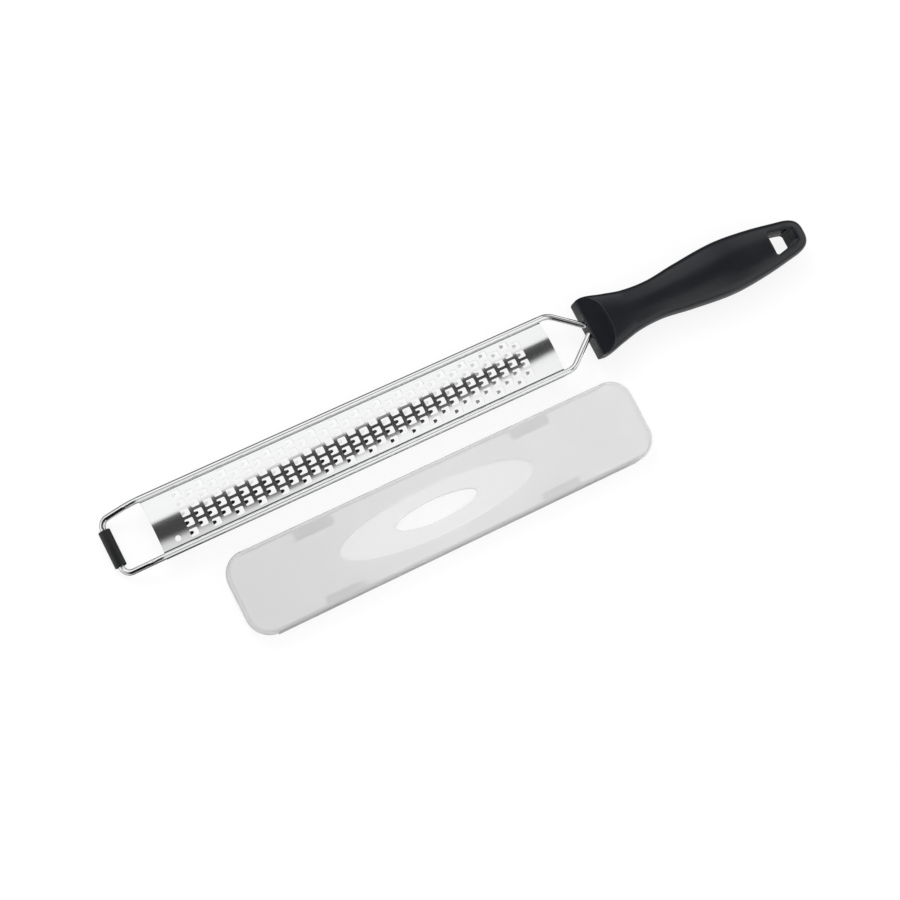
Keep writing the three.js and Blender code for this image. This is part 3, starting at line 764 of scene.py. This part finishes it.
cover = dict(
    wall=1.5, plate=1.5, corner=12.0, draft=0.4, edgeRound=1.8, edgeSteps=6, rimRound=0.3,
    cornerSteps=12, longSteps=48, shortSteps=8, endLift=6.0, liftSlope=0.5,
    dishLength=109.0, dishWidth=25.5, dishDepth=0.6, dishSlope=1.6, dishSteps=8, flatSteps=5,
    dishAhead=5.6, dishAside=0.8, ovalLength=45.0, ovalWidth=10.3, ovalRound=0.25, ovalSteps=4,
    clipLength=21.0, clipReach=4.9, clipThickness=1.6, clipSpacing=121.6, clipsAhead=1.7, clipRound=0.4,
    clipRoundSteps=3, sharpAngle=40.0, transmission=0.5, bending=1.2, dishFade=0.95,
    # the foot-end tint paints shade that darkens the cover towards its foot end
    dishTint=(0.95, 0.95, 0.95), footEndShadeTint=(0.8, 0.8, 0.8), footEndShadeReach=110.0,
    finish=dict(grainSize=0.5, driftSize=40.0, roughness=(0.1, 0.15),
                dark=(0.86, 0.86, 0.86), light=(0.9, 0.9, 0.9), bump=0.15, bumpDepth=0.05),
)
coverMiddle = (coverLow + coverHigh) / 2
dishMiddle = coverMiddle - Vector((cover["dishAhead"], cover["dishAside"], 0.0))
coverLength, coverWidth = coverHigh.x - coverLow.x, coverHigh.y - coverLow.y
coverHeight = coverHigh.z - coverLow.z


def coverPlan():
    # rounded rectangle: for each point its corner centre and direction
    plan = []
    reachX, reachY = coverLength / 2 - cover["corner"], coverWidth / 2 - cover["corner"]
    corners = [(reachX, reachY), (-reachX, reachY), (-reachX, -reachY), (reachX, -reachY)]
    for quarter, centre in enumerate(corners):
        for i in range(cover["cornerSteps"] + 1):
            angle = math.pi / 2 * (quarter + i / cover["cornerSteps"])
            plan.append((Vector(centre), Vector((math.cos(angle), math.sin(angle)))))
        ahead = Vector(corners[(quarter + 1) % 4])
        steps = cover["longSteps"] if quarter % 2 == 0 else cover["shortSteps"]
        turn = math.pi / 2 * (quarter + 1)
        facing = Vector((math.cos(turn), math.sin(turn)))
        if quarter % 2 == 0:
            # two points close together where the rim steps up at each end
            slope = cover["liftSlope"]
            shares = [0.0, slope] + stops(slope, 2 * reachX - slope, steps)[1:-1]
            shares += [2 * reachX - slope, 2 * reachX]
            runs = [s / (2 * reachX) for s in shares]
        else:
            runs = stops(0.0, 1.0, steps)
        plan += [(Vector(centre).lerp(ahead, run), facing) for run in runs[1:-1]]
    return plan


def coverMesh():
    plan = coverPlan()
    wallEnd = coverLength / 2 - cover["corner"]
    top, plate, wall = coverHeight, cover["plate"], cover["wall"]

    def outline(inset, z, rim=0.0):
        # z is a height, or None for the rim, which is lifted round both ends
        ring = []
        for centre, facing in plan:
            at = centre + facing * (cover["corner"] - inset)
            lifted = abs(centre.x) > wallEnd - cover["liftSlope"] / 2
            ring.append((at.x, at.y, (cover["endLift"] if lifted else 0.0) + rim if z is None else z))
        return ring

    aside = Vector((cover["dishAhead"], cover["dishAside"]))
    turns = [math.atan2(p.y / coverWidth, p.x / coverLength)
             for p in (centre + facing * cover["corner"] + aside for centre, facing in plan)]

    def oval(length, width, z):
        return [(length / 2 * math.cos(t) - aside.x, width / 2 * math.sin(t) - aside.y, z) for t in turns]

    def between(ringA, ringB, steps):
        for i in range(1, steps):
            yield [tuple(Vector(a).lerp(Vector(b), i / steps)) for a, b in zip(ringA, ringB)]

    def dish(z, grow):
        # S-shaped slope from the plate down to the dish floor
        for i in range(cover["dishSteps"] + 1):
            share = i / cover["dishSteps"]
            inset = 2 * cover["dishSlope"] * share - grow
            sink = cover["dishDepth"] * share * share * (3 - 2 * share)
            yield oval(cover["dishLength"] - inset, cover["dishWidth"] - inset, z - sink)

    def ovalEdge(z, sign):
        for i in range(cover["ovalSteps"] + 1):
            turn = math.pi / 2 * i / cover["ovalSteps"]
            grow = 2 * cover["ovalRound"] * (1 - math.sin(turn))
            drop = cover["ovalRound"] * (1 - math.cos(turn))
            yield oval(cover["ovalLength"] + grow, cover["ovalWidth"] + grow, z - sign * drop)

    rim, edge = cover["rimRound"], cover["edgeRound"]
    rings = [outline(rim, None), outline(0.0, None, rim)]
    for i in range(cover["edgeSteps"] + 1):
        turn = math.pi / 2 * i / cover["edgeSteps"]
        inset = cover["draft"] + edge * (1 - math.cos(turn))
        rings.append(outline(inset, top - edge + edge * math.sin(turn)))
    slopeDown = list(dish(top, 0.0))
    rings += [*between(rings[-1], slopeDown[0], cover["flatSteps"]), *slopeDown]
    floor = top - cover["dishDepth"]
    mouth = list(ovalEdge(floor, 1))
    rings += [*between(rings[-1], mouth[0], cover["flatSteps"]), *mouth]
    rings += reversed(list(ovalEdge(floor - plate, -1)))
    slopeUp = list(reversed(list(dish(top - plate, 2 * wall))))
    rings += [*between(rings[-1], slopeUp[0], cover["flatSteps"]), *slopeUp]
    inner = outline(wall + cover["draft"], top - plate)
    rings += [*between(rings[-1], inner, cover["flatSteps"]), inner]
    rings += [outline(wall, None, rim), outline(wall - rim, None)]
    faces = [f for i, ring in enumerate(rings) for f in strip(ring, rings[(i + 1) % len(rings)])]
    mesh = meshFromFaces("coverShell", faces)
    mesh.transform(Matrix.Translation(Vector((coverMiddle.x, coverMiddle.y, coverLow.z)) * mm))
    return outward(mesh)


def clipTree():
    tree, given, result = newTree(
        "coverClips", "GeometryNodeTree",
        {"Clip": "Geometry", "Along": "Float", "Across": "Float", "Plastic": "Material"},
        {"Clips": "Geometry"})
    grid = put(tree, "GeometryNodeMeshGrid", {0: given["Along"], 1: given["Across"], 2: 2, 3: 2})
    copies = put(tree, "GeometryNodeInstanceOnPoints", {"Points": grid.outputs[0], "Instance": given["Clip"]})
    dress(tree, copies.outputs[0], given["Plastic"], result)
    return tree


def clipsMesh(plastic):
    # one rounded tongue, repeated at the four places along the long walls
    width = cover["clipReach"] + cover["wall"] / 2
    shape = bmesh.new()
    bmesh.ops.create_cube(shape, size=mm)
    bmesh.ops.scale(shape, vec=(cover["clipLength"], width, cover["clipThickness"]), verts=shape.verts)
    bmesh.ops.bevel(shape, geom=shape.edges[:], offset=cover["clipRound"] * mm, affect="EDGES",
                    segments=cover["clipRoundSteps"])
    clip = bpy.data.meshes.new("clip")
    shape.to_mesh(clip)
    shape.free()
    source = tempObject("clip", clip)
    across = coverWidth - cover["wall"] - width
    useTree(source, clipTree(), {
        "Along": cover["clipSpacing"] * mm, "Across": across * mm, "Plastic": plastic})
    mesh = plainMesh(source)
    middle = (coverMiddle.x - cover["clipsAhead"], coverMiddle.y, coverLow.z + cover["clipThickness"] / 2)
    mesh.transform(Matrix.Translation(Vector(middle) * mm))
    return mesh


def frostedWithPaintedEndShade():
    material = mouldedFinish("frostedCover", cover["finish"], {
        "Transmission Weight": cover["transmission"], "IOR": cover["bending"]})
    # painted shade: the end towards the foot is darkened a little; the dish is paler
    tree = material.node_tree
    place = objectPlace(tree)
    footEndShadeStop = coverLow.x + cover["footEndShadeReach"]
    footEndShade = mapped(tree, parted(tree, place)[0], coverLow.x * mm, footEndShadeStop * mm, 1.0, 0.0)
    overTint(tree, footEndShade, cover["footEndShadeTint"])
    reach = (cover["dishLength"] / 2 * mm, cover["dishWidth"] / 2 * mm, 1.0)
    centred = put(tree, "ShaderNodeMapping", {
        "Vector": place, "Location": dishMiddle * mm, "Scale": reach}, vector_type="TEXTURE")
    away = put(tree, "ShaderNodeVectorMath", {0: centred.outputs[0]}, operation="LENGTH")
    inside = mapped(tree, away.outputs["Value"], cover["dishFade"], 1.0, 1.0, 0.0)
    overTint(tree, inside, cover["dishTint"])
    return material


coverFinish = frostedWithPaintedEndShade()
wholeCover = combined("UNION", coverMesh(), clipsMesh(coverFinish))
addPiece("frostedBladeCover", smoothShade(wholeCover, cover["sharpAngle"]),
         coverFinish, "cover", "blade_cover")


# Floor, studio and camera

studio = dict(
    floorRadius=4000.0, floorSides=96, floorDrop=0.1,
    floorColour=0.2, floorGlow=0.83, floorBounce=0.95, floorGloss=0.1,
    bladeCard=(9.0, 11.0), cardAlong=(245.0, 260.0), cardAcross=(10.0, 30.0), footCard=(-8.0, -3.0),
    cardGloss=0.9,
    roomLevel=0.8, level=1.0, leastUp=0.05, darkLevels=(0.012, 0.06), darkTurn=(-0.55, -0.3),
    edgeBend=(0.150, 0.22, 0.31), edgeSoft=0.03,
    paleBand=(0.0, 0.1, 0.22, 0.33), paleEdge=0.82, paleReach=0.13,
    sideLean=0.57, sideEdge=0.357, sideSoft=0.022,
    lowPeak=(0.17, -0.07), lowSlope=1.26, lowSoft=0.075,
    ceilingEnd=(-1.6, -1.15), kneeX=0.05, kneeY=-0.25, kneeSoft=0.1, kneeEnd=(-2.4, -1.6),
    toothBand=(-0.66, -0.63, -0.58, -0.55), toothDark=0.05, toothFloor=(-0.32, -0.2),
    toothHigh=(0.2, 0.36, 0.75), toothFar=(0.38, 0.46, 0.5), toothSlant=5.5, toothLow=(3.3, 3.52, 0.45),
    facetSpot=(-0.15, 0.15), facetReach=0.25, facetSoft=0.04,
    tipEdge=-0.92, tipSoft=0.08, tipEnd=(-0.82, -0.75), tipSide=(0.4, 0.8),
    greyBand=(0.0, 0.1, 0.21, 0.33), greyEdge=-0.06, greySoft=0.06, greyLevel=0.74,
    handleSides=(0.385, 0.41, 0.5, 0.54), handleTop=(0.385, 0.41, 0.62, 0.7),
    handleRidge=(-0.25, -0.1, 0.28, 0.36), handleLevel=0.13,
    handleNear=(-0.72, -0.45, 1.0), handleFar=(0.12, 0.4, 0.2),
    horizonHeight=0.32, footGlow=(-0.86, -0.78),
    lampPlace=(-100.0, 1000.0, 1100.0), lampSize=700.0, lampPower=6.0,
)
photoCamera = dict(lens=89.7823, sensor=36.0, reach=50000.0, place=(-172.7, -160.27, 1038.68),
                   turn=(14.7381, -13.0486, -27.787))


def makeFloor():
    shape = bmesh.new()
    bmesh.ops.create_circle(shape, cap_ends=True, segments=studio["floorSides"],
                            radius=studio["floorRadius"] * mm)
    mesh = bpy.data.meshes.new("paleFloor")
    shape.to_mesh(mesh)
    shape.free()
    mesh.transform(Matrix.Translation((cadBox[0].x, 0, -studio["floorDrop"] * mm)))
    floor = tempObject("paleFloor", mesh)
    material = bpy.data.materials.new("paleFloor")
    material.use_nodes = True
    tree = material.node_tree
    tree.nodes.clear()
    path = put(tree, "ShaderNodeLightPath").outputs
    seen = calc(tree, "MAXIMUM", path["Is Camera Ray"], path["Is Transmission Ray"])
    place = parted(tree, put(tree, "ShaderNodeNewGeometry").outputs["Position"])

    def ramp(value, start, stop, low, high):
        return mapped(tree, value, start * mm, stop * mm, low, high)

    # pale cards on the floor: before the foot, under the blade and on the handle's near side
    handleCard = calc(tree, "MULTIPLY", ramp(place[0], *studio["cardAlong"], 0.0, 1.0),
                      ramp(place[1], *studio["cardAcross"], 1.0, 0.0))
    bladeCard = ramp(calc(tree, "ABSOLUTE", place[1]), *studio["bladeCard"], 1.0, 0.0)
    footCard = ramp(place[0], *studio["footCard"], 1.0, 0.0)
    card = calc(tree, "MAXIMUM", footCard, calc(tree, "MAXIMUM", bladeCard, handleCard))
    gloss = mixed(tree, card, studio["floorGloss"], studio["cardGloss"])
    unseen = mixed(tree, path["Is Glossy Ray"], studio["floorBounce"], gloss)
    shade = mixed(tree, seen, unseen, studio["floorColour"])
    paint = put(tree, "ShaderNodeBsdfDiffuse", {"Color": shade})
    glow = put(tree, "ShaderNodeEmission", {"Strength": calc(tree, "MULTIPLY", seen, studio["floorGlow"])})
    both = put(tree, "ShaderNodeAddShader", {0: paint.outputs[0], 1: glow.outputs[0]})
    put(tree, "ShaderNodeOutputMaterial", {"Surface": both.outputs[0]})
    mesh.materials.append(material)


def makeWorld():
    # a plain pale room; what shines shows its dark ceiling and its low horizon
    world = bpy.data.worlds.new("paleStudio")
    bpy.context.scene.world = world
    world.cycles.sampling_method = "NONE"
    world.use_nodes = True
    tree = world.node_tree
    tree.nodes.clear()
    path = put(tree, "ShaderNodeLightPath").outputs
    way = parted(tree, put(tree, "ShaderNodeTexCoord").outputs["Generated"])
    up = calc(tree, "MAXIMUM", way[2], studio["leastUp"])
    alongX, alongY = calc(tree, "DIVIDE", way[0], up), calc(tree, "DIVIDE", way[1], up)

    def ramp(value, start, stop, low=0.0, high=1.0):
        return mapped(tree, value, start, stop, low, high, interpolation_type="SMOOTHSTEP")

    def below(value, edge, soft):
        return ramp(value, edge - soft, edge + soft, 1.0, 0.0)

    def times(first, *rest):
        return first if not rest else calc(tree, "MULTIPLY", first, times(*rest))

    def most(first, *rest):
        return first if not rest else calc(tree, "MAXIMUM", first, most(*rest))

    def less(first, second):
        return calc(tree, "SUBTRACT", first, second)

    def band(value, start, full, fade, stop):
        return times(ramp(value, start, full), ramp(value, fade, stop, 1.0, 0.0))

    # dark ceiling: a curved upper edge, a leaning side and a low end
    flatPart, lean, bend = studio["edgeBend"]
    rise = calc(tree, "MULTIPLY_ADD", calc(tree, "MULTIPLY_ADD", alongX, bend, lean), alongX, flatPart)
    peakX, peakY = studio["lowPeak"]
    fall = calc(tree, "MULTIPLY", calc(tree, "ABSOLUTE", less(alongX, peakX)), studio["lowSlope"])
    above = less(alongY, rise)
    paleEdge = ramp(band(alongX, *studio["paleBand"]), 0.0, 1.0, 1.0, studio["paleEdge"])
    ceiling = times(
        below(above, 0.0, studio["edgeSoft"]),
        ramp(above, -studio["paleReach"], 0.0, 1.0, paleEdge),
        ramp(alongX, *studio["ceilingEnd"]),
        below(less(less(peakY, fall), alongY), 0.0, studio["lowSoft"]),
        below(calc(tree, "MULTIPLY_ADD", alongY, -studio["sideLean"], alongX),
              studio["sideEdge"], studio["sideSoft"]))
    spotX, spotY = studio["facetSpot"]
    spotAway = put(tree, "ShaderNodeCombineXYZ", {0: less(alongX, spotX), 1: less(alongY, spotY)}).outputs[0]
    spotFar = put(tree, "ShaderNodeVectorMath", {0: spotAway}, operation="LENGTH").outputs["Value"]
    facetDark = below(spotFar, studio["facetReach"], studio["facetSoft"])
    tipDark = times(below(alongX, studio["tipEdge"], studio["tipSoft"]), ramp(way[0], *studio["tipEnd"]),
                    ramp(alongY, *studio["tipSide"], 1.0, 0.0))
    kneeDark = times(below(alongX, studio["kneeX"], studio["kneeSoft"]),
                     below(alongY, studio["kneeY"], studio["kneeSoft"]), ramp(alongY, *studio["kneeEnd"]))
    dark = most(ceiling, facetDark, tipDark, kneeDark)
    darkLevel = ramp(alongX, *studio["darkTurn"], *studio["darkLevels"])
    greyTip = times(band(alongX, *studio["greyBand"]), below(alongY, studio["greyEdge"], studio["greySoft"]))
    overhead = times(ramp(dark, 0.0, 1.0, studio["level"], darkLevel),
                     ramp(greyTip, 0.0, 1.0, 1.0, studio["greyLevel"]))

    # the rear teeth lean towards a dark strip of their own, paler on both sides
    start, stop, high = studio["toothHigh"]
    fade, end, far = studio["toothFar"]
    upperRows = times(ramp(alongY, start, stop, studio["toothDark"], high), ramp(alongY, fade, end, 1.0, far))
    start, stop, low = studio["toothLow"]
    slanted = calc(tree, "MULTIPLY_ADD", alongX, -studio["toothSlant"], alongY)
    lowerRows = times(ramp(slanted, start, stop, low, 0.0), ramp(alongY, *studio["toothFloor"]))
    overhead = mixed(tree, band(alongX, *studio["toothBand"]), overhead, most(upperRows, lowerRows))

    # the horizon is dark but before the foot, and the room is dim over the handle but for its two sides
    horizon = most(ramp(way[2], 0.0, studio["horizonHeight"]), ramp(way[0], *studio["footGlow"], 1.0, 0.0))
    start, stop, near = studio["handleNear"]
    fade, end, far = studio["handleFar"]
    overHandle = calc(tree, "ADD", ramp(way[1], start, stop, near, studio["handleLevel"]),
                      ramp(way[1], fade, end, 0.0, far))
    handleWay = most(band(way[0], *studio["handleSides"]),
                     times(band(way[0], *studio["handleTop"]), band(way[1], *studio["handleRidge"])))
    shiny = mixed(tree, handleWay, times(overhead, horizon), overHandle)
    room = mixed(tree, path["Is Glossy Ray"], studio["roomLevel"], shiny)
    level = mixed(tree, most(path["Is Camera Ray"], path["Is Transmission Ray"]), room, 1.0)
    back = put(tree, "ShaderNodeBackground", {"Strength": level})
    back.inputs["Color"].default_value = (1.0, 1.0, 1.0, 1.0)
    put(tree, "ShaderNodeOutputWorld", {"Surface": back.outputs[0]})


def makeLamp():
    light = bpy.data.lights.new("softLamp", "AREA")
    light.energy, light.size = studio["lampPower"], studio["lampSize"] * mm
    lamp = bpy.data.objects.new("softLamp", light)
    lamp.location = Vector(studio["lampPlace"]) * mm
    aim = (cadBox[0] + cadBox[1]) / 2 - lamp.location
    lamp.rotation_euler = aim.to_track_quat("-Z", "Y").to_euler()
    lamp.visible_glossy = False
    bpy.context.scene.collection.objects.link(lamp)


def makeCamera():
    lens = bpy.data.cameras.new("photoCamera")
    lens.lens, lens.sensor_width = photoCamera["lens"], photoCamera["sensor"]
    lens.clip_end = photoCamera["reach"] * mm
    camera = bpy.data.objects.new("photoCamera", lens)
    camera.location = Vector(photoCamera["place"]) * mm
    camera.rotation_euler = [math.radians(a) for a in photoCamera["turn"]]
    bpy.context.scene.collection.objects.link(camera)
    bpy.context.scene.camera = camera


makeFloor()
makeWorld()
makeLamp()
makeCamera()
bpy.context.scene.view_settings.view_transform = "Standard"
print("stage: floor, studio, lamp and camera")
